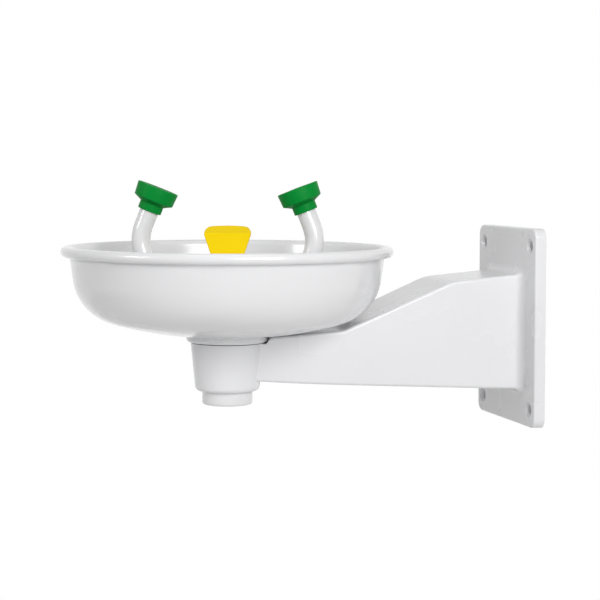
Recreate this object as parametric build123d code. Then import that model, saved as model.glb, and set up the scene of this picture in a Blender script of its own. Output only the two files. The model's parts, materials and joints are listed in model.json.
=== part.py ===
from build123d import *
from math import sin, cos, tan, asin, sqrt, radians
import os

# Wall-mounted eyewash station, in millimetres.
# Origin: centre of the wall plate's back face. +Y runs into the wall, +Z is up.
# The bowl hangs out along -Y on a hollow arm. The water group (valve, tubes, heads, paddle) stands
# in the bowl and is clocked about the bowl's upright axis.

# ---- wall plate ----
plate_width = 130.0
plate_height = 170.0
plate_thickness = 10.0
plate_corner_radius = 8.5
plate_edge_radius = 2.0
bolt_inset_x = 12.5
bolt_inset_z = 15.0
bolt_hole_diameter = 9.0
bolt_hole_edge = 2.2

# ---- place of the bowl ----
bowl_reach = 261.5
rim_rise = 70.0

# ---- bowl ----
bowl_diameter = 279.0
bowl_wall = 3.0
bead_radius = 4.4
wall_inset = 52.8
corner_radius = 43.0
corner_drop = 22.4
wall_flare = 8.0
floor_slope = 16.3
floor_low_radius = 17.6
boss_radius = 34.8
boss_height = 5.5
boss_edge_radius = 3.4

# ---- socket and arm ----
socket_top_radius = 31.0
socket_bottom_radius = 27.0
socket_height = 40.4
socket_edge_radius = 4.0
casting_wall = 4.0
arm_end_depth = 30.7
arm_root_top = 45.6
arm_root_bottom = -54.0
arm_end_half_width = 10.0
arm_neck_half_width = 33.5
arm_neck_reach = 90.0
arm_neck_taper = 3.4
arm_root_half_width = 38.0
arm_top_slope = 5.0
ramp_slope = 23.0
ramp_bowl_gap = 3.6
ramp_shoulder_radius = 40.0
ramp_foot_radius = 28.0
saddle_slope = 5.2
saddle_gap = 1.0
pocket_gap = 6.2
pocket_foot_gap = 0.8
pocket_depth = 7.6
arm_edge_radius = 2.5
arm_root_fillet = 8.0

# ---- drain ----
tailpiece_diameter = 42.4
tailpiece_drop = 11.5
tailpiece_edge_radius = 2.0
tailpiece_wall = 2.7
tailpiece_shoulder = 0.6
waste_wall = 2.0
waste_flange_overlap = 11.0
waste_flange_thickness = 2.5
grid_thickness = 1.2
gasket_thickness = 1.5
seat_gasket_thickness = 0.6
neck_length = 27.4
socket_shelf = 3.7
thread_engagement = 12.0

# ---- supply ----
supply_diameter = 15.0
supply_wall = 1.3
supply_depth = 16.0
port_depth = 8.0
elbow_wall = 3.0
o_ring_section = 1.5
bulkhead_thickness = 3.0
bulkhead_recess = 9.0
lug_diameter = 10.0
lug_length = 14.0
screw_length = 10.0
bulkhead_screw_diameter = 4.0
inlet_thread_radius = 9.5
inlet_thread_depth = 14.0
inlet_wall = 3.5
inlet_hex = 32.0
inlet_hex_length = 4.5
locknut_thickness = 5.0

# ---- valve ----
head_clock = 74.5
valve_drop = 26.0
ball_radius = 12.5
port_radius = 4.0
seat_width = 4.5
seat_depth = 15.5
ball_gap = 0.8
barrel_wall = 3.7
barrel_end = 23.0
riser_diameter = 16.0
riser_wall = 2.5
riser_socket = 12.0
leg_wall = 3.5
union_washer = 1.0
union_hex = 27.0
union_hex_length = 6.0
union_thread_length = 6.5
ferrule_length = 3.0
nut_hex = 24.0
nut_cap = 2.5

# ---- lever and paddle ----
paddle_travel = 60.0
stud_diameter = 7.0
stud_neck_diameter = 6.0
stud_embed = 6.3
paddle_top = 17.0
paddle_front_top = 10.8
paddle_crown = 1.4
paddle_back_rise = 1.2
paddle_half_width = 14.2
paddle_width_height = -6.3
paddle_side_slope = 18.9
paddle_corner_radius = 6.0
paddle_depth = 14.0
paddle_wall = 2.5
paddle_boss_wall = 3.0
paddle_edge_radius = 0.8
paddle_screw_diameter = 4.0

# ---- tubes ----
tube_diameter = 16.0
tube_wall = 1.5
tube_straight = 1.0
tube_bend_radius = 30.0
tube_lean = 21.3
tube_lean_radius = 38.0
tube_neck = 12.1

# ---- spray heads ----
collar_diameter = 20.3
collar_length = 6.5
cone_length = 3.2
head_low_diameter = 34.2
head_top_diameter = 35.4
head_rim_length = 11.5
head_edge = 0.5
head_wall = 2.1
face_thickness = 2.6
face_dome = 0.5
screen_thickness = 0.6
regulator_thickness = 2.6
head_washer = 1.2

# ---- clearances ----
slide_gap = 0.05
thread_gap = 0.05
fit_gap = 0.3
seat_gap = 0.05
swing_gap = 1.2
slot_gap = 0.4

# ---- shared places ----
station = Pos(0, -bowl_reach, rim_rise)
water = station * Rot(0, 0, head_clock)
valve = water * Pos(0, 0, -valve_drop)
UP = (Align.CENTER, Align.CENTER, Align.MIN)
AHEAD = Rot(-90, 0, 0)
nodes = {}


def disc(radius, low, high):
    """Upright round bar between two heights."""
    return Pos(0, 0, low) * Cylinder(radius, high - low, align=UP)


def ring(outer, inner, low, high):
    """Upright tube between two heights."""
    return disc(outer, low, high) - disc(inner, low, high)


def hex_bar(across_flats, low, high):
    """Upright hexagonal bar between two heights."""
    outline = RegularPolygon(across_flats / 2, 6, major_radius=False)
    return Pos(0, 0, low) * extrude(outline, high - low)


def o_ring(inner, height):
    """Round-section seal ring that grips a shaft of radius inner."""
    return Pos(0, 0, height) * Torus(inner + slide_gap + o_ring_section / 2, o_ring_section / 2)


def groove(inner, height):
    """Cut for an o_ring in the bore around that shaft."""
    half = o_ring_section / 2 + slide_gap
    return ring(inner + o_ring_section + 2 * slide_gap, inner - 1, height - half, height + half)


def around(shape, count, radius):
    """Copies of a shape evenly spaced on a circle."""
    return [Rot(0, 0, 360 * turn / count) * Pos(radius, 0, 0) * shape for turn in range(count)]


# ---- bowl profile: radius outwards, height from the rim's top ----
rim_radius = bowl_diameter / 2
corner_x = rim_radius - wall_inset
wall_out = Vector(sin(radians(wall_flare)), cos(radians(wall_flare)))
slope = radians(floor_slope)
flare = radians(wall_flare)
floor_arc = (corner_x + corner_radius * sin(slope) - floor_low_radius) / sin(slope)
floor_centre = -corner_drop - corner_radius * cos(slope) + floor_arc * cos(slope)
floor_low = floor_centre - floor_arc
seat = floor_low - boss_height


def corner_point(radius, angle):
    """Point on the bowl's corner arc, by its angle down from level."""
    return Vector(corner_x + radius * cos(angle), -corner_drop - radius * sin(angle))


def floor_height(radius, at):
    """Height of the bowl's floor arc at a distance from the axis."""
    return floor_centre - sqrt(radius ** 2 - (at - floor_low_radius) ** 2)


neck_radius = tailpiece_diameter / 2 - tailpiece_wall + 1.0
hole_radius = neck_radius + fit_gap
flange_radius = neck_radius + waste_flange_overlap
recess_radius = flange_radius + fit_gap
inner_floor = floor_arc - bowl_wall
recess_floor = floor_height(inner_floor, recess_radius) - gasket_thickness - waste_flange_thickness
flange_top = recess_floor + gasket_thickness + waste_flange_thickness


def build_bowl():
    """Round bowl with a rolled rim, a flat floor recess and a boss below."""
    bead = Vector(rim_radius - bead_radius, -bead_radius)
    low_out = corner_point(corner_radius, flare)
    low_in = corner_point(corner_radius - bowl_wall, flare)
    top_out = low_out + wall_out * ((bead.Y - low_out.Y) / wall_out.Y)
    top_in = low_in + wall_out * ((bead.Y - low_in.Y) / wall_out.Y)
    turn = radians(45 + (wall_flare - floor_slope) / 2)
    foot_out = corner_point(corner_radius, radians(90) - slope)
    foot_in = corner_point(corner_radius - bowl_wall, radians(90) - slope)
    boss_top = Vector(boss_radius, floor_height(floor_arc, boss_radius))
    lip_in = Vector(recess_radius, floor_height(inner_floor, recess_radius))
    halfway = (boss_radius + foot_out.X) / 2
    edge = boss_edge_radius
    outline = Curve() + [
        Line(top_out, low_out),
        ThreePointArc(low_out, corner_point(corner_radius, turn), foot_out),
        ThreePointArc(foot_out, (halfway, floor_height(floor_arc, halfway)), boss_top),
        Line(boss_top, (boss_radius, seat + edge)),
        RadiusArc((boss_radius, seat + edge), (boss_radius - edge, seat), edge),
        Polyline(
            (boss_radius - edge, seat),
            (hole_radius, seat),
            (hole_radius, recess_floor),
            (recess_radius, recess_floor),
            lip_in,
        ),
        ThreePointArc(lip_in, (halfway, floor_height(inner_floor, halfway)), foot_in),
        ThreePointArc(foot_in, corner_point(corner_radius - bowl_wall, turn), low_in),
        Line(low_in, top_in),
        TangentArc(top_in, (bead.X, 0), tangent=wall_out),
        Line((bead.X, 0), bead),
        Line(bead, top_out),
    ]
    profile = make_face(outline) + Pos(bead.X, bead.Y) * Circle(bead_radius)
    return station * revolve(Plane.XZ * profile, Axis.Z)


# ---- wall bracket ----
socket_top = seat - seat_gasket_thickness
socket_bottom = socket_top - socket_height
arm_end_bottom = socket_top - arm_end_depth
root = bowl_reach - plate_thickness
pocket_radius = boss_radius + pocket_gap
port_height = seat - supply_depth
shelf_top = seat - neck_length - fit_gap
shelf_bottom = shelf_top - socket_shelf
tail_radius = tailpiece_diameter / 2
spigot_radius = tail_radius - tailpiece_shoulder
waste_thread = neck_radius - 1.0
waste_bore = waste_thread - waste_wall
lug_face = -bulkhead_recess - bulkhead_thickness
cavity_half_width = arm_root_half_width - casting_wall
cavity_top = arm_root_top - casting_wall
cavity_bottom = arm_root_bottom + casting_wall


def arm_side(inset):
    """Side outline of the arm, drawn from the bowl's axis (0) to the wall plate's back."""
    climb, rise, saddle = (radians(angle) for angle in (ramp_slope, arm_top_slope, saddle_slope))
    under_bowl = floor_height(floor_arc, boss_radius) - saddle_gap
    saddle_start = under_bowl - inset / cos(saddle) - boss_radius * tan(saddle)
    ramp_start = -corner_drop - (corner_radius + ramp_bowl_gap + inset) / cos(climb) - corner_x * tan(climb)
    top_start = arm_root_top - rim_rise - inset / cos(rise) - root * tan(rise)
    foot = (saddle_start - ramp_start) / (tan(climb) - tan(saddle))
    shoulder = (top_start - ramp_start) / (tan(climb) - tan(rise))
    root_low = arm_root_bottom - rim_rise + inset
    top = FilletPolyline(
        (0, saddle_start),
        (foot, ramp_start + foot * tan(climb)),
        (shoulder, ramp_start + shoulder * tan(climb)),
        (bowl_reach, top_start + bowl_reach * tan(rise)),
        radius=[ramp_foot_radius + inset, ramp_shoulder_radius - inset],
    )
    drop = (root_low - arm_end_bottom - inset) / root
    under = Polyline(
        top @ 1,
        (bowl_reach, arm_end_bottom + inset + drop * bowl_reach),
        (0, arm_end_bottom + inset),
        (0, saddle_start),
    )
    return make_face(Curve() + [top, under])


def arm_plan(inset):
    """Plan outline of the arm, drawn from the bowl's axis to the wall plate's back."""
    end = arm_end_half_width - inset
    neck = arm_neck_half_width - inset
    wide = arm_root_half_width - inset
    lean = tan(radians(arm_neck_taper))
    outline = Curve() + [
        TangentArc((neck, arm_neck_reach), (end, 0), tangent=(-lean, -1)),
        TangentArc((neck, arm_neck_reach), (wide, root), tangent=(lean, 1)),
        Polyline((wide, root), (wide, bowl_reach), (-wide, bowl_reach), (-wide, root)),
        TangentArc((-neck, arm_neck_reach), (-wide, root), tangent=(-lean, 1)),
        TangentArc((-neck, arm_neck_reach), (-end, 0), tangent=(lean, -1)),
        Line((-end, 0), (end, 0)),
    ]
    return make_face(outline)


def arm_bar(inset):
    """Solid bar with the arm's side and plan outlines, in the bowl's frame."""
    side = extrude(Plane.YZ * arm_side(inset), 2 * arm_root_half_width, both=True)
    plan = extrude(arm_plan(inset), bowl_diameter, both=True)
    return side & plan


def build_wall_plate():
    """Flat plate with rounded corners, softened edges and four bolt holes."""
    outline = RectangleRounded(plate_width, plate_height, plate_corner_radius)
    plate = extrude(Plane.XZ * outline, plate_thickness)
    front = plate.faces().sort_by(Axis.Y)[0]
    plate = fillet(front.edges(), plate_edge_radius)
    across = plate_width / 2 - bolt_inset_x
    upward = plate_height / 2 - bolt_inset_z
    radius = bolt_hole_diameter / 2
    drill = disc(radius, 0, plate_thickness) + Pos(0, 0, plate_thickness) * Cone(
        radius, radius + 2 * bolt_hole_edge, 2 * bolt_hole_edge
    )
    for x in (-across, across):
        for z in (-upward, upward):
            plate -= Pos(x, 0, z) * Rot(90, 0, 0) * drill
    return plate


def build_wall_bracket():
    """Casting: wall plate, hollow arm open at the back, and the tapered socket under the bowl."""
    arm = arm_bar(0)
    long_edges = arm.edges().filter_by(lambda edge: abs((edge % 0.5).Y) > 0.5)
    arm = station * fillet(long_edges, arm_edge_radius)
    body = build_wall_plate() + build_arm_root()
    body = fillet(body.edges().filter_by(on_root_seam), arm_root_fillet)
    body += arm
    body -= station * boss_pocket()
    taper = Pos(0, 0, (socket_top + socket_bottom) / 2) * Cone(
        socket_bottom_radius, socket_top_radius, socket_height
    )
    taper = fillet(taper.edges().sort_by(Axis.Z)[0], socket_edge_radius)
    body += station * taper
    inner = Pos(0, 0, (socket_top + shelf_top - casting_wall) / 2) * Cone(
        socket_bottom_radius - casting_wall,
        socket_top_radius - casting_wall,
        socket_top - shelf_top - casting_wall,
    )
    roof = disc(pocket_radius + casting_wall, socket_top - casting_wall, socket_top + socket_height)
    body -= station * ((arm_bar(casting_wall) - roof) + inner)
    body += station * ring(socket_bottom_radius - 0.5, waste_thread + fit_gap, shelf_bottom, shelf_top)
    for place in lug_places():
        body += place * disc(lug_diameter / 2, lug_face - lug_length, lug_face)
    body -= station * disc(hole_radius, shelf_top, socket_top)
    body -= station * disc(waste_thread + fit_gap, shelf_bottom, shelf_top)
    body -= station * disc(spigot_radius + fit_gap, socket_bottom, shelf_bottom)
    for place in lug_places():
        body -= place * disc(bulkhead_screw_diameter / 2, lug_face - screw_length, lug_face)
    return body


def boss_pocket():
    """Flared pocket in the arm's top that clears the bowl's boss."""
    flare = Pos(0, 0, socket_top + pocket_depth / 2) * Cone(
        boss_radius + pocket_foot_gap, pocket_radius, pocket_depth
    )
    return flare + disc(pocket_radius, socket_top + pocket_depth, socket_top + socket_height)


def build_arm_root():
    """Short straight block that carries the fillet between the arm and the plate."""
    top = arm_root_top - arm_root_fillet * tan(radians(arm_top_slope))
    low = arm_root_bottom + arm_root_fillet * (arm_end_bottom - arm_root_bottom + rim_rise) / root
    outline = RectangleRounded(2 * arm_root_half_width - 0.4, top - low, arm_edge_radius)
    length = plate_thickness + arm_root_fillet + 0.5
    return Pos(0, 0, (top + low) / 2) * extrude(Plane.XZ * outline, length)


def on_root_seam(edge):
    """True for the edges where the arm's root meets the plate's front."""
    middle = edge @ 0.5
    inside = abs(middle.X) < arm_root_half_width + 1 and arm_root_bottom - 1 < middle.Z < arm_root_top + 1
    return abs(middle.Y + plate_thickness) < 0.01 and inside


def lug_places():
    """Axes of the four bulkhead screws, pointing towards the wall."""
    inside = lug_diameter / 2 - 0.8
    across = cavity_half_width - inside
    heights = (cavity_bottom + inside, cavity_top - inside)
    return [Pos(x, 0, z) * AHEAD for x in (-across, across) for z in heights]


# ---- drain ----
riser_radius = riser_diameter / 2
riser_bore = riser_radius - riser_wall
supply_radius = supply_diameter / 2
elbow_radius = riser_bore + elbow_wall + riser_wall - 0.5
column_top = flange_top - grid_thickness
riser_low = column_top - riser_socket
grid_radius = waste_bore + 5.5
waste_end = seat - neck_length - socket_shelf - fit_gap - thread_engagement


def build_waste_body():
    """Flanged drain neck with a cast elbow inside, which carries the supply up its centre."""
    body = disc(flange_radius, flange_top - waste_flange_thickness, flange_top)
    body += disc(neck_radius, seat - neck_length, flange_top - waste_flange_thickness)
    body += disc(waste_thread, waste_end, seat - neck_length)
    body -= disc(waste_bore, seat - 3 * neck_length, flange_top)
    body -= disc(grid_radius + fit_gap, column_top, flange_top)
    elbow = Pos(0, 0, port_height) * Sphere(elbow_radius + 0.5)
    port = Pos(0, 0, port_height) * AHEAD * disc(elbow_radius + 0.5, 0, neck_radius)
    port &= disc(neck_radius, port_height - 2 * elbow_radius, port_height + 2 * elbow_radius)
    body += elbow + port + disc(elbow_radius, port_height, column_top)
    body -= disc(riser_bore, port_height, column_top) + Pos(0, 0, port_height) * Sphere(riser_bore)
    body -= disc(riser_radius + slide_gap, riser_low, column_top)
    branch = disc(riser_bore, 0, neck_radius)
    branch += disc(supply_radius + slide_gap, neck_radius - port_depth, 2 * neck_radius)
    branch += groove(supply_radius, neck_radius - port_depth / 2)
    body -= Pos(0, 0, port_height) * AHEAD * branch
    body -= groove(riser_radius, column_top - riser_socket / 2)
    return station * body


def build_drain_grid():
    """Perforated disc in the waste flange, around the riser."""
    grid = disc(grid_radius, column_top, flange_top) - disc(riser_radius + fit_gap, column_top, flange_top)
    hole = disc(1.3, column_top, flange_top)
    for count, radius in ((12, elbow_radius + 1.7), (20, waste_bore - 1.9)):
        grid -= around(hole, count, radius)
    return station * grid


def build_drain_tailpiece():
    """Round sleeve nut that screws onto the waste from below and draws the bowl onto the socket."""
    low = socket_bottom - tailpiece_drop
    high = shelf_bottom - gasket_thickness
    sleeve = disc(tail_radius, low, socket_bottom - fit_gap)
    sleeve = fillet(sleeve.edges().sort_by(Axis.Z)[0], tailpiece_edge_radius)
    sleeve += disc(spigot_radius, socket_bottom - fit_gap, high)
    sleeve -= disc(waste_thread - 1.0, low, high)
    sleeve -= disc(waste_thread + thread_gap, waste_end - fit_gap, high)
    return station * sleeve


# ---- supply ----
pipe_start = neck_radius - port_depth + fit_gap
supply_line = Pos(0, 0, rim_rise + port_height) * AHEAD
inlet_thread_outer = inlet_thread_radius + inlet_wall
inlet_shoulder = lug_face - gasket_thickness
inlet_mouth = -bulkhead_recess + locknut_thickness + 1.0
inlet_end = inlet_mouth - inlet_thread_depth
fitting_end = inlet_end - 2 * riser_bore - riser_socket
screen_seat = 2.0


def build_supply_pipe():
    """Straight pipe from the inlet fitting to the waste body's port."""
    length_start = pipe_start - bowl_reach
    length_end = fitting_end + riser_socket - fit_gap
    return supply_line * ring(supply_radius, supply_radius - supply_wall, length_start, length_end)


def build_inlet_fitting():
    """Brass fitting through the bulkhead: G1/2 mouth towards the wall, pipe socket inside the arm."""
    body = disc(inlet_thread_outer, inlet_shoulder, inlet_mouth)
    body += hex_bar(inlet_hex, inlet_shoulder - inlet_hex_length, inlet_shoulder)
    body += disc(supply_radius + inlet_wall, fitting_end, inlet_shoulder)
    body -= disc(inlet_thread_radius, inlet_end, inlet_mouth)
    body -= disc(inlet_thread_radius - 1.0, inlet_end - screen_seat, inlet_end)
    body -= disc(riser_bore, fitting_end, inlet_end)
    body -= disc(supply_radius + slide_gap, fitting_end, fitting_end + riser_socket)
    body -= groove(supply_radius, fitting_end + riser_socket / 2)
    return supply_line * body


def build_inlet_strainer():
    """Perforated disc at the bottom of the inlet thread."""
    radius = inlet_thread_radius - 1.0 - slide_gap
    screen = disc(radius, inlet_end - screen_seat + 0.1, inlet_end - 0.4)
    hole = disc(0.6, inlet_end - screen_seat, inlet_end)
    for count, radius in ((1, 0), (6, 2.4), (12, 4.4), (16, 6.3)):
        screen -= around(hole, count, radius)
    return supply_line * screen


def build_supply_seals():
    """Seal rings around the supply pipe, one at each end."""
    wall_end = supply_line * o_ring(supply_radius, fitting_end + riser_socket / 2)
    port_end = supply_line * o_ring(supply_radius, neck_radius - port_depth / 2 - bowl_reach)
    return [wall_end, port_end]


def build_inlet_bulkhead():
    """Steel plate across the arm's open back, which holds the inlet fitting."""
    width = 2 * (cavity_half_width - fit_gap)
    low = cavity_bottom + fit_gap + 0.3
    high = cavity_top - fit_gap - 0.3
    plate = Pos(0, -bulkhead_recess, (low + high) / 2) * extrude(
        Plane.XZ * RectangleRounded(width, high - low, arm_edge_radius), bulkhead_thickness
    )
    plate -= supply_line * disc(inlet_thread_outer + fit_gap, lug_face, -bulkhead_recess)
    for place in lug_places():
        plate -= place * disc(bulkhead_screw_diameter / 2 + fit_gap, lug_face, -bulkhead_recess)
    return plate


def build_bulkhead_screws():
    """Four pan-head screws into the arm's lugs."""
    shank = disc(bulkhead_screw_diameter / 2 - thread_gap, lug_face - screw_length + 1, -bulkhead_recess)
    head = disc(bulkhead_screw_diameter * 0.95, -bulkhead_recess, -bulkhead_recess + 2.4)
    head = fillet(head.edges().sort_by(Axis.Z)[-1], 1.0)
    slot = Pos(0, 0, -bulkhead_recess + 2.0) * Box(10, 1.0, 1.6)
    return [place * (shank + head - slot) for place in lug_places()]


# ---- valve, drawn with its axis level along X and its leg down ----
chamber_radius = ball_radius + ball_gap
barrel_radius = chamber_radius + barrel_wall
seat_radius = port_radius + seat_width
leg_radius = riser_radius + leg_wall
leg_end = -seat_depth - leg_wall - riser_socket
riser_high = leg_end + riser_socket - fit_gap - valve_drop
LEFT = Rot(0, -90, 0)
RIGHT = Rot(0, 90, 0)
SIDES = {"left": LEFT, "right": RIGHT}


def build_valve_body():
    """Level barrel with a leg down to the riser and a slot on top for the lever stud."""
    body = RIGHT * disc(barrel_radius, -barrel_end, barrel_end)
    body += disc(leg_radius, leg_end, 0)
    body -= RIGHT * disc(chamber_radius, -barrel_end, barrel_end)
    body -= disc(seat_radius + slide_gap, -seat_depth, 0)
    body -= disc(riser_bore, leg_end, 0)
    body -= disc(riser_radius + slide_gap, leg_end, leg_end + riser_socket)
    body -= groove(riser_radius, leg_end + riser_socket / 2)
    half = stud_diameter / 2 + slot_gap
    spare = asin(half / chamber_radius) + radians(2)
    far = 2 * barrel_radius
    last = radians(paddle_travel)
    ends = [(far * sin(angle), far * cos(angle)) for angle in (-spare, last / 2, last + spare)]
    sector = make_face(Polyline((0, 0), *ends, close=True))
    body -= extrude(Plane.YZ * sector, half, both=True)
    return valve * body


def build_ball():
    """Ball with a straight bore between the outlets and one inlet port, which the paddle turns downwards."""
    ball = Sphere(ball_radius) - RIGHT * disc(port_radius, -ball_radius, ball_radius)
    ball -= Rot(-paddle_travel, 0, 0) * Rot(180, 0, 0) * disc(port_radius, 0, ball_radius)
    ball -= disc(stud_neck_diameter / 2 + thread_gap, stud_embed - fit_gap, ball_radius)
    return valve * ball


def valve_seat():
    """Seat ring under the ball, shaped to it."""
    return ring(seat_radius, port_radius, -seat_depth, 0) - Sphere(ball_radius + seat_gap)


def build_lever_stud():
    """Round stud from the ball up into the paddle."""
    stud = disc(stud_neck_diameter / 2, stud_embed, ball_radius + 1)
    stud += disc(stud_diameter / 2, ball_radius + slot_gap, stud_top)
    return valve * stud


stud_top = valve_drop + paddle_front_top - paddle_wall - 1.0
union_start = chamber_radius - 3.0
union_face = barrel_end + union_washer
union_shoulder = union_face + union_hex_length
union_end = union_shoulder + union_thread_length
tube_radius = tube_diameter / 2
union_thread = tube_radius + 2.5
tube_seat = union_end - union_thread_length - 4.0
nut_end = union_end + ferrule_length + nut_cap


def outlet_union():
    """Union that screws into the barrel, holds a seat and takes a tube; drawn pointing up."""
    body = disc(chamber_radius - thread_gap, union_start, union_face)
    body += hex_bar(union_hex, union_face, union_shoulder)
    body += disc(union_thread, union_shoulder, union_end)
    body -= disc(seat_radius + slide_gap, union_start, seat_depth)
    body -= disc(port_radius + 0.5, union_start, tube_seat)
    body -= disc(tube_radius + slide_gap, tube_seat, union_end)
    return body


def tube_nut():
    """Hexagonal nut over the union's thread, the ferrule and the tube; drawn pointing up."""
    nut = hex_bar(nut_hex, union_shoulder + fit_gap, nut_end)
    nut -= disc(union_thread + thread_gap, union_shoulder, union_end + fit_gap)
    nut -= disc(ferrule_radius + fit_gap, union_end, union_end + ferrule_length)
    nut -= disc(tube_radius + fit_gap, union_end, nut_end)
    return nut


ferrule_radius = tube_radius + 1.5


def ferrule():
    """Soft ring that the nut presses onto the tube."""
    return ring(ferrule_radius, tube_radius + slide_gap, union_end + 0.05, union_end + ferrule_length - 0.05)


# ---- tubes and spray heads ----
tube_offset = nut_end + tube_straight + tube_bend_radius
lean = radians(tube_lean)
lean_start = tube_bend_radius - valve_drop
tube_insert = 7.0
collar_offset = tube_offset - tube_lean_radius * (1 - cos(lean)) - tube_neck * sin(lean)
collar_height = lean_start + tube_lean_radius * sin(lean) + tube_neck * cos(lean)


def tube_path(side):
    """Centre line of a tube from its union to its head; side is -1 for left and 1 for right."""
    level = Line((side * (tube_seat + fit_gap), -valve_drop), (side * (nut_end + tube_straight), -valve_drop))
    bend = JernArc(level @ 1, level % 1, tube_bend_radius, side * 90)
    incline = JernArc(bend @ 1, bend % 1, tube_lean_radius, side * tube_lean)
    neck = Line(incline @ 1, incline @ 1 + (incline % 1) * (tube_neck + tube_insert))
    return Plane.XZ * Wire([level.edge(), bend.edge(), incline.edge(), neck.edge()])


def build_tube(side):
    """Bent water tube."""
    path = tube_path(side)
    start = Plane(path @ 0, z_dir=path % 0)
    outer = sweep(start * Circle(tube_radius), path)
    return water * (outer - sweep(start * Circle(tube_radius - tube_wall), path))


def head_place(side):
    """Frame at the foot of a spray head's collar, with Z along the jet."""
    return water * Pos(side * collar_offset, 0, collar_height) * Rot(0, -side * tube_lean, 0)


cone_end = collar_length + cone_length
head_end = cone_end + head_rim_length
face_seat = head_end - face_thickness - 0.6
chamber_wide = head_low_diameter / 2 - head_wall - 0.5
shelf_low = tube_insert + head_washer
shelf_high = shelf_low + 2.0
screen_height = shelf_high + regulator_thickness + 0.7
regulator_radius = chamber_wide - 4.5
face_radius = head_top_diameter / 2 - head_wall


def spray_head_body():
    """Green shell: collar, cone and wide rim, stepped inside for what it holds."""
    low = head_low_diameter / 2
    high = head_top_diameter / 2
    collar = collar_diameter / 2
    outline = Polyline(
        (0, 0),
        (collar - head_edge, 0),
        (collar, head_edge),
        (collar, collar_length),
        (low - head_edge, cone_end - head_edge / 2),
        (low, cone_end + head_edge / 2),
        (high, head_end - head_edge),
        (high - head_edge, head_end),
        (0, head_end),
        close=True,
    )
    body = revolve(Plane.XZ * make_face(outline), Axis.Z)
    body -= disc(tube_radius + thread_gap, 0, shelf_low)
    body -= disc(tube_radius - 2.5, shelf_low, shelf_high)
    body -= disc(chamber_wide - 1.3, shelf_high, screen_height)
    body -= disc(chamber_wide, screen_height, face_seat)
    body -= disc(face_radius, face_seat, head_end)
    return body


def spray_face():
    """Slightly domed perforated face."""
    radius = face_radius - slide_gap
    top = head_end - 0.2
    outline = Curve() + [
        Polyline((0, top + face_dome), (0, face_seat), (radius, face_seat), (radius, top)),
        ThreePointArc((radius, top), (radius / 2, top + 0.75 * face_dome), (0, top + face_dome)),
    ]
    face = revolve(Plane.XZ * make_face(outline), Axis.Z)
    jet = disc(0.8, face_seat, head_end + 1)
    for count, radius in ((1, 0), (6, 3.6), (12, 7.2), (18, 10.8)):
        face -= around(jet, count, radius)
    return face


def head_screen():
    """Fine perforated disc under the spray face."""
    screen = disc(chamber_wide - slide_gap, screen_height, screen_height + screen_thickness)
    hole = disc(0.55, screen_height, screen_height + screen_thickness)
    for count, radius in ((1, 0), (6, 2.4), (12, 4.8), (18, 7.2), (24, 9.6)):
        screen -= around(hole, count, radius)
    return screen


def flow_regulator():
    """Disc that evens out the flow, on the shell's inner shelf."""
    plug = disc(regulator_radius, shelf_high, shelf_high + regulator_thickness)
    hole = disc(1.1, shelf_high, shelf_high + regulator_thickness)
    return plug - around(hole, 6, tube_radius - 4.2)


def build_paddle():
    """Moulded fan-shaped push paddle, hollow below, with a boss for the stud."""
    pivot = -valve_drop
    spread = tan(radians(paddle_side_slope))
    low = pivot + chamber_radius
    shoulder = paddle_top - paddle_crown
    low_half = paddle_half_width + (low - paddle_width_height) * spread
    top_half = paddle_half_width + (shoulder - paddle_width_height) * spread
    outline = make_face(Curve() + [
        Polyline((-top_half, shoulder), (-low_half, low), (low_half, low), (top_half, shoulder)),
        ThreePointArc((top_half, shoulder), (0, paddle_top), (-top_half, shoulder)),
    ])
    outline = fillet(outline.vertices().sort_by(Axis.Y)[-2:], paddle_corner_radius)
    half = paddle_depth / 2
    shell = extrude(Plane.XZ * outline, half, both=True)
    hollow = extrude(Plane.XZ * offset(outline, -paddle_wall), half - paddle_wall, both=True)
    shell -= slanted_block(0)
    shell = fillet(shell.edges().filter_by(lambda edge: (edge @ 0.5).Z > low + 0.1), paddle_edge_radius)
    hollow -= slanted_block(paddle_wall)
    mouth = Pos(0, low) * Rectangle(2 * (low_half - paddle_wall), 8)
    hollow += extrude(Plane.XZ * mouth, half - paddle_wall, both=True)
    boss = disc(stud_diameter / 2 + paddle_boss_wall, low, paddle_front_top)
    boss &= extrude(Plane.XZ * outline, half - paddle_edge_radius, both=True)
    paddle = shell - hollow + (boss - slanted_block(0.5))
    paddle -= disc(stud_diameter / 2 + slide_gap, low - 1, pivot + stud_top + fit_gap)
    paddle -= Pos(0, 0, pivot) * RIGHT * disc(barrel_radius + swing_gap, -2 * top_half, 2 * top_half)
    paddle -= Pos(0, 0, screw_height) * AHEAD * disc(paddle_screw_diameter / 2 + thread_gap, 0, half + 1)
    return water * paddle


screw_height = paddle_front_top - 8.0


def slanted_block(inset):
    """Everything above the paddle's sloping top, which passes clear over the crown at the back."""
    half = paddle_depth / 2
    front = paddle_front_top - inset
    back = paddle_top + paddle_back_rise - inset
    high = 2 * paddle_top
    side = make_face(Polyline((-half, front), (half, back), (half, high), (-half, high), close=True))
    return extrude(Plane.YZ * side, 3 * paddle_half_width, both=True)


def build_paddle_screw():
    """Headless screw from the paddle's back onto the stud."""
    start = stud_diameter / 2 + slide_gap
    screw = disc(paddle_screw_diameter / 2, start, paddle_depth / 2 - 0.4)
    screw -= hex_bar(2.0, paddle_depth / 2 - 2.0, paddle_depth / 2)
    return water * Pos(0, 0, screw_height) * AHEAD * screw


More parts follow.
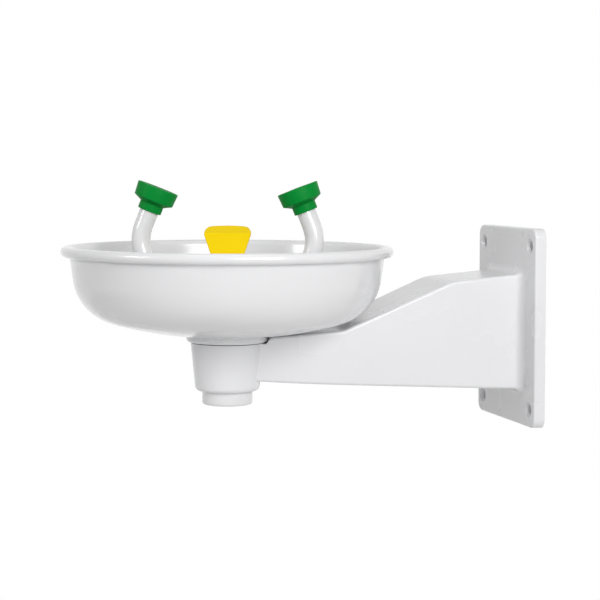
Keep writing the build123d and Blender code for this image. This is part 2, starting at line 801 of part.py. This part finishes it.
# ---- every node ----
nodes["wall_bracket"] = build_wall_bracket()
nodes["bowl"] = build_bowl()
nodes["seat_gasket"] = station * ring(boss_radius - boss_edge_radius - 1.2, hole_radius, socket_top, seat)
nodes["flange_gasket"] = station * ring(
    flange_radius, hole_radius, recess_floor, recess_floor + gasket_thickness
)
nodes["waste_body"] = build_waste_body()
nodes["drain_grid"] = build_drain_grid()
nodes["drain_tailpiece"] = build_drain_tailpiece()
nodes["tailpiece_seal"] = station * ring(
    spigot_radius, waste_thread + fit_gap, shelf_bottom - gasket_thickness, shelf_bottom
)
nodes["inlet_bulkhead"] = build_inlet_bulkhead()
nodes["bulkhead_screws"] = build_bulkhead_screws()
nodes["inlet_fitting"] = build_inlet_fitting()
nodes["inlet_washer"] = supply_line * ring(
    inlet_hex / 2, inlet_thread_outer + fit_gap, inlet_shoulder, lug_face
)
nodes["inlet_locknut"] = supply_line * (
    hex_bar(inlet_hex + 2, -bulkhead_recess, -bulkhead_recess + locknut_thickness)
    - disc(inlet_thread_outer + thread_gap, -bulkhead_recess, -bulkhead_recess + locknut_thickness)
)
nodes["inlet_strainer"] = build_inlet_strainer()
nodes["supply_pipe"] = build_supply_pipe()
nodes["supply_seals"] = build_supply_seals()
nodes["riser_pipe"] = station * ring(riser_radius, riser_bore, riser_low + fit_gap, riser_high)
nodes["riser_seals"] = [
    station * o_ring(riser_radius, column_top - riser_socket / 2),
    valve * o_ring(riser_radius, leg_end + riser_socket / 2),
]
nodes["valve_body"] = build_valve_body()
nodes["valve_ball"] = build_ball()
nodes["inlet_seat"] = valve * valve_seat()
nodes["lever_stud"] = build_lever_stud()
nodes["push_paddle"] = build_paddle()
nodes["paddle_screw"] = build_paddle_screw()
for name, turn in SIDES.items():
    side = 1 if name == "right" else -1
    head = head_place(side)
    nodes[name + "_outlet_seat"] = valve * turn * Rot(180, 0, 0) * valve_seat()
    nodes[name + "_outlet_union"] = valve * turn * outlet_union()
    nodes[name + "_union_washer"] = valve * turn * ring(
        barrel_radius - 1.5, chamber_radius + fit_gap, barrel_end, union_face
    )
    nodes[name + "_tube_nut"] = valve * turn * tube_nut()
    nodes[name + "_ferrule"] = valve * turn * ferrule()
    nodes[name + "_tube"] = build_tube(side)
    nodes[name + "_head_body"] = head * spray_head_body()
    nodes[name + "_spray_face"] = head * spray_face()
    nodes[name + "_head_screen"] = head * head_screen()
    nodes[name + "_flow_regulator"] = head * flow_regulator()
    nodes[name + "_head_washer"] = head * ring(
        tube_radius - 0.1, tube_radius - 2, tube_insert, shelf_low
    )

os.makedirs("parts", exist_ok=True)
for name, shape in nodes.items():
    shapes = shape if isinstance(shape, list) else [shape]
    solids = [solid for piece in shapes for solid in piece.solids()]
    export_step(Compound(children=solids), f"parts/{name}.step")
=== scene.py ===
import json
from math import atan2, cos, pi, radians, sin, sqrt

import bmesh
import bpy
from mathutils import Matrix, Vector


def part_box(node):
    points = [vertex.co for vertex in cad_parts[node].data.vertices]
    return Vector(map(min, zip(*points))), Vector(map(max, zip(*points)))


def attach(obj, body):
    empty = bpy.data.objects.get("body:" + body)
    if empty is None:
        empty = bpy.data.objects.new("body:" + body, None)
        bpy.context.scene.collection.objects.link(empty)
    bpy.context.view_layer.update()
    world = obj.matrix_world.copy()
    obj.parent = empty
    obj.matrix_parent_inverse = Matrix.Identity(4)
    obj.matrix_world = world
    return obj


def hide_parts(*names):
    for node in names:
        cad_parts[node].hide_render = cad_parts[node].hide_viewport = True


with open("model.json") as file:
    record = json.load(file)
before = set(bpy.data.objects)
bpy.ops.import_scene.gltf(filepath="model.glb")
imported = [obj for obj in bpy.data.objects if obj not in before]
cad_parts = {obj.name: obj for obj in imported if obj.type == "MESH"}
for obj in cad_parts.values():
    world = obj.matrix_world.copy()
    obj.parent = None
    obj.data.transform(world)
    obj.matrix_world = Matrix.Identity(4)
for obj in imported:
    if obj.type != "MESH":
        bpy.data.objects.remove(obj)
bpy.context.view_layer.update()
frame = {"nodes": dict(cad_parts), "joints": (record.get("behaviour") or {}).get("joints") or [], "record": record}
nodes = frame["nodes"]
scene = bpy.context.scene

# ---- places read from the frame ----
paddle_joint = frame["joints"][0]
pivot = Vector(paddle_joint["pos_m"])
line = -Vector(paddle_joint["axis"])
clock = atan2(line.y, line.x)
bowl_low, bowl_high = (Vector(corner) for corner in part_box("bowl"))
rim = Vector((pivot.x, pivot.y, bowl_high.z))
WATER = Matrix.Translation(pivot) @ Matrix.Rotation(clock, 4, "Z")
STATION = Matrix.Translation(rim)
LEFT, RIGHT = -1, 1
SIDES = {"left": LEFT, "right": RIGHT}


# ---- camera, light and stage ----
EYE_DISTANCE = 1.460
EYE_SIDE = 0.0609
EYE_RISE = 0.0640
EYE_TURN = radians(15.5)
EYE_PITCH = radians(2.70)
EYE_ROLL = radians(-0.22)
EYE_SHIFT = -0.08
EYE_LENS = 104.2
EYE_SENSOR = 36
AMBIENT = 0.30


def build_camera():
    """Camera beside the station and just above the rim, looking slightly down and towards the wall."""
    ahead = Vector((-cos(EYE_TURN), sin(EYE_TURN), 0))
    right = Vector((sin(EYE_TURN), cos(EYE_TURN), 0))
    camera = bpy.data.objects.new("camera", bpy.data.cameras.new("camera"))
    camera.data.lens = EYE_LENS
    camera.data.sensor_width = EYE_SENSOR
    camera.location = rim - ahead * EYE_DISTANCE + right * EYE_SIDE + Vector((0, 0, EYE_RISE))
    look = ahead * cos(EYE_PITCH) - Vector((0, 0, sin(EYE_PITCH)))
    camera.rotation_mode = "QUATERNION"
    roll = Matrix.Rotation(EYE_ROLL, 4, look).to_quaternion()
    camera.rotation_quaternion = roll @ look.to_track_quat("-Z", "Y")
    camera.data.shift_y = EYE_SHIFT
    scene.collection.objects.link(camera)
    scene.camera = camera
    return ahead, right


def build_softbox(name, place, aim, size, power):
    """Square soft light at a place, turned to a point."""
    light = bpy.data.lights.new(name, "AREA")
    light.size = size
    light.energy = power
    lamp = bpy.data.objects.new(name, light)
    lamp.location = place
    lamp.rotation_euler = (Vector(aim) - place).to_track_quat("-Z", "Y").to_euler()
    scene.collection.objects.link(lamp)


def seen_directly(tree):
    """1 for camera, mirror and glass rays, 0 for the rest."""
    path = tree.nodes.new("ShaderNodeLightPath")
    total = path.outputs["Is Camera Ray"]
    for name in ("Is Glossy Ray", "Is Transmission Ray"):
        add = tree.nodes.new("ShaderNodeMath")
        add.operation = "MAXIMUM"
        tree.links.new(total, add.inputs[0])
        tree.links.new(path.outputs[name], add.inputs[1])
        total = add.outputs[0]
    return total


def build_world(ambient):
    """White to the eye and in reflections, softer as light."""
    world = bpy.data.worlds.new("studio")
    world.use_nodes = True
    scene.world = world
    tree = world.node_tree
    background = tree.nodes["Background"]
    background.inputs["Color"].default_value = (1, 1, 1, 1)
    level = tree.nodes.new("ShaderNodeMapRange")
    level.inputs["To Min"].default_value = ambient
    tree.links.new(seen_directly(tree), level.inputs["Value"])
    tree.links.new(level.outputs["Result"], background.inputs["Strength"])


FLOOR_DROP = 1.0
FLOOR_RADIUS = 2.4
FLOOR_SIDES = 96
FLOOR_SHADE = 0.92
FLOOR_ROUGHNESS = 0.9
FLOOR_GLOW = 0.42


def build_floor(drop, radius):
    """Pale floor well below the object."""
    bm = bmesh.new()
    bmesh.ops.create_circle(bm, cap_ends=True, segments=FLOOR_SIDES, radius=radius)
    floor = new_object("floor", bm, Matrix.Translation((rim.x, rim.y, rim.z - drop)))
    paint = bpy.data.materials.new("pale_floor")
    paint.use_nodes = True
    surface = paint.node_tree.nodes["Principled BSDF"]
    surface.inputs["Base Color"].default_value = (FLOOR_SHADE, FLOOR_SHADE, FLOOR_SHADE, 1)
    surface.inputs["Roughness"].default_value = FLOOR_ROUGHNESS
    glow = paint.node_tree.nodes.new("ShaderNodeMath")
    glow.operation = "MULTIPLY"
    glow.inputs[1].default_value = FLOOR_GLOW
    paint.node_tree.links.new(seen_directly(paint.node_tree), glow.inputs[0])
    surface.inputs["Emission Color"].default_value = (1, 1, 1, 1)
    paint.node_tree.links.new(glow.outputs[0], surface.inputs["Emission Strength"])
    floor.data.materials.append(paint)


# ---- mesh helpers ----
POINT_MERGE = 1e-7
SEAM_MERGE = 1e-6


def new_object(name, bm, place=Matrix.Identity(4), sharp=30):
    """Object at the origin whose mesh is the bmesh, moved to its place."""
    bmesh.ops.transform(bm, matrix=place, verts=bm.verts[:])
    mesh = bpy.data.meshes.new(name)
    bm.to_mesh(mesh)
    bm.free()
    mesh.shade_smooth()
    mesh.set_sharp_from_angle(angle=radians(sharp))
    made = bpy.data.objects.new(name, mesh)
    scene.collection.objects.link(made)
    return made


def tidy_shell(bm):
    """Closed seams and poles, with every face pointing outwards."""
    bmesh.ops.remove_doubles(bm, verts=bm.verts[:], dist=SEAM_MERGE)
    bmesh.ops.recalc_face_normals(bm, faces=bm.faces[:])
    return bm


class Outline:
    """Lathe outline in the X-Z plane: straight runs, and arcs swung about a centre."""

    def __init__(self, x, z):
        self.bm = bmesh.new()
        self.first = self.last = self.bm.verts.new((x, 0, z))

    def to(self, x, z):
        """Straight run to a point."""
        made = bmesh.ops.extrude_vert_indiv(self.bm, verts=[self.last])["verts"][0]
        made.co = (x, 0, z)
        self.last = made
        return self

    def arc(self, x, z, turn, steps):
        """Swing about a centre; a positive turn goes from +X towards +Z."""
        swung = bmesh.ops.spin(self.bm, geom=[self.last], cent=(x, 0, z), axis=(0, -1, 0),
                               angle=turn, steps=steps, use_duplicate=False)
        self.last = next(part for part in swung["geom_last"] if isinstance(part, bmesh.types.BMVert))
        return self

    def close(self):
        """Straight run back to the start."""
        self.bm.edges.new((self.last, self.first))
        return self

    def turned(self, steps):
        """Whole turn about Z."""
        bmesh.ops.remove_doubles(self.bm, verts=self.bm.verts[:], dist=POINT_MERGE)
        bmesh.ops.spin(self.bm, geom=self.bm.verts[:] + self.bm.edges[:], cent=(0, 0, 0), axis=(0, 0, 1),
                       angle=2 * pi, steps=steps, use_merge=True, use_duplicate=False)
        return tidy_shell(self.bm)


# ---- pieces ----
BOWL_WALL = 0.003
BEAD_RADIUS = 0.0044
CORNER_INSET = 0.0528
CORNER_RADIUS = 0.043
CORNER_DROP = 0.0224
WALL_FLARE = radians(8)
FLOOR_SLOPE = radians(16.3)
FLOOR_LOW_RADIUS = 0.0176
BOSS_RADIUS = 0.0348
BOSS_EDGE = 0.0034
DRAIN_HOLE_RADIUS = 0.0198
RECESS_RADIUS = 0.0308
BOWL_SIDES = 176


def on_circle(centre, radius, angle):
    """Point on a circle in the X-Z plane."""
    return Vector((centre[0] + radius * cos(angle), centre[1] + radius * sin(angle)))


def angle_of(centre, point):
    """Direction from a centre to a point."""
    return atan2(point[1] - centre[1], point[0] - centre[0])


def build_bowl():
    """Round bowl with a rolled rim, a recess for the waste and a boss below."""
    rim_radius = (bowl_high.x - bowl_low.x) / 2
    seat = bowl_low.z - rim.z
    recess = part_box("flange_gasket")[0][2] - rim.z
    corner = Vector((rim_radius - CORNER_INSET, -CORNER_DROP))
    foot = FLOOR_SLOPE - pi / 2
    arc_radius = (corner.x + CORNER_RADIUS * sin(FLOOR_SLOPE) - FLOOR_LOW_RADIUS) / sin(FLOOR_SLOPE)
    floor = Vector((FLOOR_LOW_RADIUS, corner.y + (arc_radius - CORNER_RADIUS) * cos(FLOOR_SLOPE)))
    inner_arc = arc_radius - BOWL_WALL
    inner_corner = CORNER_RADIUS - BOWL_WALL
    boss_top = Vector((BOSS_RADIUS, floor.y - sqrt(arc_radius ** 2 - (BOSS_RADIUS - floor.x) ** 2)))
    lip = Vector((RECESS_RADIUS, floor.y - sqrt(inner_arc ** 2 - (RECESS_RADIUS - floor.x) ** 2)))
    wall = Vector((sin(WALL_FLARE), cos(WALL_FLARE)))
    low_out = on_circle(corner, CORNER_RADIUS, -WALL_FLARE)
    low_in = on_circle(corner, inner_corner, -WALL_FLARE)
    bead = Vector((rim_radius - BEAD_RADIUS, -BEAD_RADIUS))
    along = (bead - low_out).dot(wall)
    aside = (bead - low_out - along * wall).length
    under_bead = low_out + (along - sqrt(BEAD_RADIUS ** 2 - aside ** 2)) * wall
    top_in = low_in + (bead.y - low_in.y) / wall.y * wall
    crest = Vector((bead.x, 0))
    roll = pi - 2 * WALL_FLARE - 2 * angle_of(top_in, crest)
    roll_radius = (crest - top_in).length / 2 / sin(roll / 2)
    roll_centre = top_in + roll_radius * Vector((cos(WALL_FLARE), -sin(WALL_FLARE)))
    outline = Outline(DRAIN_HOLE_RADIUS, seat).to(BOSS_RADIUS - BOSS_EDGE, seat)
    outline.arc(BOSS_RADIUS - BOSS_EDGE, seat + BOSS_EDGE, pi / 2, 6).to(*boss_top)
    outline.arc(*floor, foot - angle_of(floor, boss_top), 10)
    outline.arc(*corner, -WALL_FLARE - foot, 18).to(*under_bead)
    outline.arc(*bead, pi / 2 - angle_of(bead, under_bead), 22)
    outline.arc(*roll_centre, roll, 9).to(*low_in)
    outline.arc(*corner, foot + WALL_FLARE, 18)
    outline.arc(*floor, angle_of(floor, lip) - foot, 10)
    outline.to(RECESS_RADIUS, recess).to(DRAIN_HOLE_RADIUS, recess).close()
    return stand_for(new_object("white_bowl", outline.turned(BOWL_SIDES), STATION, sharp=40), "bowl")


TUBE_RADIUS = 0.008
TUBE_WALL = 0.0015
TUBE_START = 0.0263
TUBE_BEND_START = 0.043
TUBE_BEND_RADIUS = 0.030
TUBE_LEAN = radians(21.3)
TUBE_LEAN_RADIUS = 0.038
TUBE_RISE = 0.0121
TUBE_INSERT = 0.007
TUBE_FIT_GAP = 0.00005
TUBE_REACH = TUBE_BEND_START + TUBE_BEND_RADIUS
TUBE_SIDES = 48


def move_on(bm, faces, step):
    """Extrude a wall's end by a step and give its new end."""
    made = bmesh.ops.extrude_face_region(bm, geom=faces)["geom"]
    bmesh.ops.translate(bm, verts=[part for part in made if isinstance(part, bmesh.types.BMVert)], vec=step)
    return [part for part in made if isinstance(part, bmesh.types.BMFace)]


def swing_on(bm, faces, centre, turn, steps):
    """Extrude a wall's end round a level axis; a positive turn goes from +X to +Z."""
    swung = bmesh.ops.spin(bm, geom=faces, cent=centre, axis=(0, -1, 0), angle=turn, steps=steps)
    return [part for part in swung["geom_last"] if isinstance(part, bmesh.types.BMFace)]


def build_tube(name, side):
    """Bent water tube from the union up to the head."""
    bm = bmesh.new()
    place = Matrix.Translation((TUBE_START, 0, 0)) @ Matrix.Rotation(pi / 2, 4, "Y")
    for radius in (TUBE_RADIUS, TUBE_RADIUS - TUBE_WALL):
        bmesh.ops.create_circle(bm, segments=TUBE_SIDES, radius=radius, matrix=place)
    foot = bmesh.ops.bridge_loops(bm, edges=bm.edges[:])["faces"]
    straight = move_on(bm, foot, (TUBE_BEND_START - TUBE_START, 0, 0))
    upright = swing_on(bm, straight, (TUBE_BEND_START, 0, TUBE_BEND_RADIUS), pi / 2, 26)
    lean_x = TUBE_BEND_START + TUBE_BEND_RADIUS - TUBE_LEAN_RADIUS
    leaning = swing_on(bm, upright, (lean_x, 0, TUBE_BEND_RADIUS), TUBE_LEAN, 12)
    neck = TUBE_RISE + TUBE_INSERT
    move_on(bm, leaning, (-sin(TUBE_LEAN) * neck, 0, cos(TUBE_LEAN) * neck))
    # each extrusion leaves its starting end inside the wall
    bmesh.ops.delete(bm, geom=straight + upright + leaning, context="FACES")
    if side == LEFT:
        bmesh.ops.rotate(bm, verts=bm.verts[:], matrix=Matrix.Rotation(pi, 3, "Z"))
    return stand_for(new_object(name + "_bent_tube", tidy_shell(bm), WATER, sharp=40), name + "_tube")


COLLAR_RADIUS = 0.01015
COLLAR_LENGTH = 0.0065
CONE_LENGTH = 0.0032
HEAD_LOW_RADIUS = 0.0171
HEAD_TOP_RADIUS = 0.0177
HEAD_RIM_LENGTH = 0.0115
HEAD_WALL = 0.0021
HEAD_EDGE = 0.0007
CONE_END_INSET = 1.4 * HEAD_EDGE
CONE_END_DROP = 0.35 * HEAD_EDGE
SHOULDER_INSET = 1.6 * HEAD_EDGE
SHOULDER_TURN = radians(78)
FACE_RECESS = 0.0032
SCREEN_RADIUS = 0.0145
SCREEN_SEAT = 0.0135
REGULATOR_BORE = 0.0132
SHELF_TOP = 0.0102
SHELF_LOW = 0.0082
SHELF_BORE = 0.0055
HEAD_SIDES = 96
HEAD_OFFSET = TUBE_REACH - TUBE_LEAN_RADIUS * (1 - cos(TUBE_LEAN)) - TUBE_RISE * sin(TUBE_LEAN)
HEAD_HEIGHT = TUBE_BEND_RADIUS + TUBE_LEAN_RADIUS * sin(TUBE_LEAN) + TUBE_RISE * cos(TUBE_LEAN)


def build_head(name, side):
    """Green shell of a spray head: collar, cone and wide rim, open at the top for its face."""
    cone_end = COLLAR_LENGTH + CONE_LENGTH
    top = cone_end + HEAD_RIM_LENGTH
    edge = HEAD_EDGE
    mouth = HEAD_TOP_RADIUS - HEAD_WALL
    outline = Outline(TUBE_RADIUS + TUBE_FIT_GAP, 0).to(COLLAR_RADIUS - edge, 0)
    outline.arc(COLLAR_RADIUS - edge, edge, pi / 2, 4).to(COLLAR_RADIUS, COLLAR_LENGTH)
    outline.to(HEAD_LOW_RADIUS - CONE_END_INSET, cone_end - CONE_END_DROP)
    outline.arc(HEAD_LOW_RADIUS - SHOULDER_INSET, cone_end + edge, SHOULDER_TURN, 5)
    outline.to(HEAD_TOP_RADIUS, top - edge).arc(HEAD_TOP_RADIUS - edge, top - edge, pi / 2, 5)
    outline.to(mouth + edge / 2, top).arc(mouth + edge / 2, top - edge / 2, pi / 2, 3)
    outline.to(mouth, top - FACE_RECESS).to(SCREEN_RADIUS, top - FACE_RECESS).to(SCREEN_RADIUS, SCREEN_SEAT)
    outline.to(REGULATOR_BORE, SCREEN_SEAT).to(REGULATOR_BORE, SHELF_TOP).to(SHELF_BORE, SHELF_TOP)
    outline.to(SHELF_BORE, SHELF_LOW).to(TUBE_RADIUS + TUBE_FIT_GAP, SHELF_LOW).close()
    lean = Matrix.Rotation(-side * TUBE_LEAN, 4, "Y")
    place = WATER @ Matrix.Translation((side * HEAD_OFFSET, 0, HEAD_HEIGHT)) @ lean
    shell = new_object(name + "_green_head", outline.turned(HEAD_SIDES), place, sharp=35)
    return stand_for(shell, name + "_head_body")


TAIL_EDGE = 0.002
TAIL_SHOULDER = 0.0006
TAIL_LEDGE = 0.00105
TAIL_SHOWN = 0.0112
TAIL_SIDES = 128
TAIL_THREAD_RADIUS = 0.01855
TAIL_THREAD_LOW = 0.0088


def build_tailpiece():
    """Round drain tailpiece below the socket, with a softened lower edge."""
    low, high = (Vector(corner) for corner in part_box("drain_tailpiece"))
    radius = (high.x - low.x) / 2
    bottom, top = low.z - rim.z, high.z - rim.z
    shoulder = bottom + TAIL_SHOWN
    bore = TAIL_THREAD_RADIUS - TAIL_LEDGE
    spigot = radius - TAIL_SHOULDER
    outline = Outline(bore, bottom).to(radius - TAIL_EDGE, bottom)
    outline.arc(radius - TAIL_EDGE, bottom + TAIL_EDGE, pi / 2, 7)
    outline.to(radius, shoulder).to(spigot, shoulder).to(spigot, top).to(TAIL_THREAD_RADIUS, top)
    outline.to(TAIL_THREAD_RADIUS, bottom + TAIL_THREAD_LOW).to(bore, bottom + TAIL_THREAD_LOW).close()
    tail = new_object("drain_tail", outline.turned(TAIL_SIDES), STATION, sharp=35)
    return stand_for(tail, "drain_tailpiece")


def stand_for(piece, node):
    """The piece takes the CAD node's place, body, slot and finish."""
    entry = next(part for part in frame["record"]["subparts"] if part["node"] == node)
    bodies = frame["record"]["behaviour"]["bodies"]
    body = next(made for made, carried in bodies.items() if node in carried)
    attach(piece, body)
    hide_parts(node)
    piece.data.materials.append(FINISHES[entry["material_slot"]])
    return piece


COPY_MERGE = 2e-6
FLAT_ANGLE = radians(0.4)
ROUND_STEPS = 3
COPY_SHARP_ANGLE = 50


def soften(node, name, width, sharp):
    """Merged copy of a CAD node with its sharp edges rounded."""
    bm = bmesh.new()
    bm.from_mesh(nodes[node].data)
    bmesh.ops.remove_doubles(bm, verts=bm.verts[:], dist=COPY_MERGE)
    bmesh.ops.dissolve_limit(bm, angle_limit=FLAT_ANGLE, verts=bm.verts[:], edges=bm.edges[:])
    paired = [edge for edge in bm.edges if len(edge.link_faces) == 2]
    hard = [edge for edge in paired if edge.calc_face_angle(0) > radians(sharp)]
    bmesh.ops.bevel(bm, geom=hard, offset=width, offset_type="OFFSET", segments=ROUND_STEPS, profile=0.5,
                    affect="EDGES", clamp_overlap=True, material=-1)
    made = new_object(name, bm, sharp=COPY_SHARP_ANGLE)
    smooth = made.modifiers.new("even_faces", "WEIGHTED_NORMAL")
    smooth.keep_sharp = True
    return stand_for(made, node)


# ---- finishes ----
def socket(tree, kind, name, direction, value=None):
    """Named socket on a node group."""
    made = tree.interface.new_socket(name=name, in_out=direction, socket_type=kind)
    if value is not None:
        made.default_value = value


def join(tree, source, target):
    """Link two sockets."""
    tree.links.new(source, target)


def noise(tree, vector, scale, detail=3.0, stretch=None):
    """Noise value over the object's own coordinates."""
    if stretch:
        mapping = tree.nodes.new("ShaderNodeMapping")
        mapping.inputs["Scale"].default_value = stretch
        join(tree, vector, mapping.inputs["Vector"])
        vector = mapping.outputs["Vector"]
    made = tree.nodes.new("ShaderNodeTexNoise")
    made.inputs["Detail"].default_value = detail
    join(tree, vector, made.inputs["Vector"])
    join(tree, scale, made.inputs["Scale"])
    return made.outputs["Fac"]


def spread(tree, value, low, high):
    """Map 0..1 to between two sockets' values."""
    made = tree.nodes.new("ShaderNodeMapRange")
    join(tree, value, made.inputs["Value"])
    join(tree, low, made.inputs["To Min"])
    join(tree, high, made.inputs["To Max"])
    return made.outputs["Result"]


def mix_colour(tree, factor, first, second):
    """Mix two colour sockets."""
    made = tree.nodes.new("ShaderNodeMix")
    made.data_type = "RGBA"
    join(tree, factor, made.inputs["Factor"])
    join(tree, first, made.inputs[6])
    join(tree, second, made.inputs[7])
    return made.outputs[2]


def build_surface_group(name, relief_stretch=None):
    """Group that turns two shades and two roughnesses into a varied surface with a fine relief."""
    tree = bpy.data.node_groups.new(name, "ShaderNodeTree")
    for label in ("Light Shade", "Deep Shade"):
        socket(tree, "NodeSocketColor", label, "INPUT", (0.8, 0.8, 0.8, 1))
    for label, value in (("Smooth", 0.25), ("Rough", 0.4), ("Cloud Scale", 9.0), ("Relief Scale", 900.0)):
        socket(tree, "NodeSocketFloat", label, "INPUT", value)
    socket(tree, "NodeSocketVector", "Place", "INPUT")
    socket(tree, "NodeSocketColor", "Color", "OUTPUT")
    for label in ("Roughness", "Height"):
        socket(tree, "NodeSocketFloat", label, "OUTPUT")
    given = tree.nodes.new("NodeGroupInput").outputs
    result = tree.nodes.new("NodeGroupOutput").inputs
    cloud = noise(tree, given["Place"], given["Cloud Scale"])
    relief = noise(tree, given["Place"], given["Relief Scale"], 2.0, relief_stretch)
    join(tree, mix_colour(tree, cloud, given["Light Shade"], given["Deep Shade"]), result["Color"])
    join(tree, spread(tree, cloud, given["Smooth"], given["Rough"]), result["Roughness"])
    join(tree, relief, result["Height"])
    return tree


COAT = build_surface_group("coat_surface")
MOULD = build_surface_group("moulded_surface")
BRUSH = build_surface_group("brushed_surface", relief_stretch=(1, 1, 14))


def finish(name, group, light, deep, smooth, rough, cloud, relief, depth, **principled):
    """Material from a surface group: two shades, two roughnesses, the scales of clouds and relief, and the
    relief's depth in metres. The even values are set on the shader itself."""
    made = bpy.data.materials.new(name)
    made.use_nodes = True
    tree = made.node_tree
    shader = tree.nodes["Principled BSDF"]
    surface = tree.nodes.new("ShaderNodeGroup")
    surface.node_tree = group
    surface.inputs["Light Shade"].default_value = (*light, 1)
    surface.inputs["Deep Shade"].default_value = (*deep, 1)
    surface.inputs["Smooth"].default_value = smooth
    surface.inputs["Rough"].default_value = rough
    surface.inputs["Cloud Scale"].default_value = cloud
    surface.inputs["Relief Scale"].default_value = relief
    place = tree.nodes.new("ShaderNodeTexCoord")
    join(tree, place.outputs["Object"], surface.inputs["Place"])
    bump = tree.nodes.new("ShaderNodeBump")
    bump.inputs["Distance"].default_value = depth
    join(tree, surface.outputs["Height"], bump.inputs["Height"])
    join(tree, bump.outputs["Normal"], shader.inputs["Normal"])
    join(tree, surface.outputs["Color"], shader.inputs["Base Color"])
    join(tree, surface.outputs["Roughness"], shader.inputs["Roughness"])
    for label, value in principled.items():
        shader.inputs[label.replace("_", " ")].default_value = value
    return made


FINISHES = {
    "coated_casting": finish("white_coat_on_casting", COAT, (0.80, 0.80, 0.81), (0.76, 0.76, 0.775),
                             0.22, 0.32, 11, 700, 0.00003, Coat_Weight=0.35, Coat_Roughness=0.12),
    "coated_bowl": finish("white_coat_on_bowl", COAT, (0.81, 0.81, 0.82), (0.78, 0.78, 0.79), 0.16, 0.24,
                          8, 600, 0.00002, Coat_Weight=0.5, Coat_Roughness=0.08),
    "coated_tube": finish("white_coat_on_tube", COAT, (0.80, 0.80, 0.81), (0.765, 0.765, 0.775), 0.15, 0.22,
                          25, 900, 0.00001, Coat_Weight=0.5, Coat_Roughness=0.08),
    "coated_drain": finish("white_coat_on_drain", COAT, (0.79, 0.79, 0.80), (0.76, 0.76, 0.77), 0.2, 0.3,
                           20, 800, 0.00002, Coat_Weight=0.3, Coat_Roughness=0.12),
    "seal_rubber": finish("black_seal_rubber", MOULD, (0.03, 0.03, 0.032), (0.018, 0.018, 0.02), 0.55, 0.75,
                          60, 2500, 0.00004),
    "fibre_washer": finish("red_pressed_fibre", MOULD, (0.42, 0.11, 0.06), (0.30, 0.075, 0.045), 0.7, 0.9,
                           250, 3000, 0.00006),
    "plated_brass": finish("satin_nickel_plate", BRUSH, (0.70, 0.685, 0.65), (0.60, 0.585, 0.555), 0.2, 0.34,
                           45, 1500, 0.00001, Metallic=1.0),
    "polished_steel": finish("polished_ball_steel", BRUSH, (0.74, 0.74, 0.75), (0.66, 0.66, 0.67), 0.08, 0.14,
                             60, 2200, 0.000004, Metallic=1.0),
    "brushed_steel": finish("brushed_stainless", BRUSH, (0.62, 0.62, 0.63), (0.52, 0.52, 0.53), 0.26, 0.4,
                            50, 1300, 0.00001, Metallic=1.0),
    "seat_plastic": finish("white_seat_plastic", MOULD, (0.82, 0.82, 0.80), (0.76, 0.76, 0.74), 0.3, 0.4,
                           90, 2500, 0.00001),
    "green_shell": finish("green_moulded_shell", MOULD, (0.0012, 0.262, 0.036), (0.001, 0.235, 0.032),
                          0.42, 0.52, 55, 2600, 0.00002, Specular_IOR_Level=0.08),
    "green_face": finish("green_moulded_face", MOULD, (0.0012, 0.20, 0.028), (0.001, 0.17, 0.024), 0.46, 0.56,
                         70, 2600, 0.00002, Specular_IOR_Level=0.08),
    "inner_plastic": finish("pale_inner_plastic", MOULD, (0.66, 0.66, 0.62), (0.58, 0.58, 0.55), 0.4, 0.5,
                            80, 2200, 0.00002),
    "yellow_paddle": finish("yellow_moulded_paddle", MOULD, (0.97, 0.70, 0.002), (0.94, 0.665, 0.002),
                            0.4, 0.5, 40, 2400, 0.00002, Specular_IOR_Level=0.08),
}


SOFTENED = [
    ("push_paddle", "yellow_push_paddle", 0.0002, 25),
    ("wall_bracket", "cast_bracket", 0.0008, 25),
    ("valve_body", "brass_valve_body", 0.0003, 30),
    ("inlet_fitting", "brass_inlet_fitting", 0.0003, 30),
    ("inlet_locknut", "brass_locknut", 0.0004, 30),
    ("inlet_bulkhead", "steel_bulkhead", 0.0003, 30),
    ("left_outlet_union", "left_brass_union", 0.0003, 30),
    ("right_outlet_union", "right_brass_union", 0.0003, 30),
    ("left_tube_nut", "left_brass_nut", 0.0004, 30),
    ("right_tube_nut", "right_brass_nut", 0.0004, 30),
]


def paint_cad_nodes():
    """Gives every CAD node the finish of its slot."""
    slots = {entry["node"]: entry["material_slot"] for entry in frame["record"]["subparts"]}
    for name, node in nodes.items():
        node.data.materials.clear()
        node.data.materials.append(FINISHES[slots[name]])


ahead, right = build_camera()
build_world(AMBIENT)
up = Vector((0, 0, 1))
build_softbox("front_softbox", rim - ahead * 1.5 + right * 0.65 + up * 0.45, rim, size=0.9, power=19.0)
build_softbox("left_softbox", rim - ahead * 0.75 - right * 1.4 + up * 0.55, rim, size=0.5, power=5.5)
build_softbox("top_softbox", rim + up * 1.5 - ahead * 0.3, rim, size=1.0, power=3.0)
build_floor(FLOOR_DROP, FLOOR_RADIUS)
paint_cad_nodes()
build_bowl()
build_tailpiece()
for name, side in SIDES.items():
    build_tube(name, side)
    build_head(name, side)
for node, name, width, sharp in SOFTENED:
    soften(node, name, width, sharp)

scene.view_settings.view_transform = "Standard"
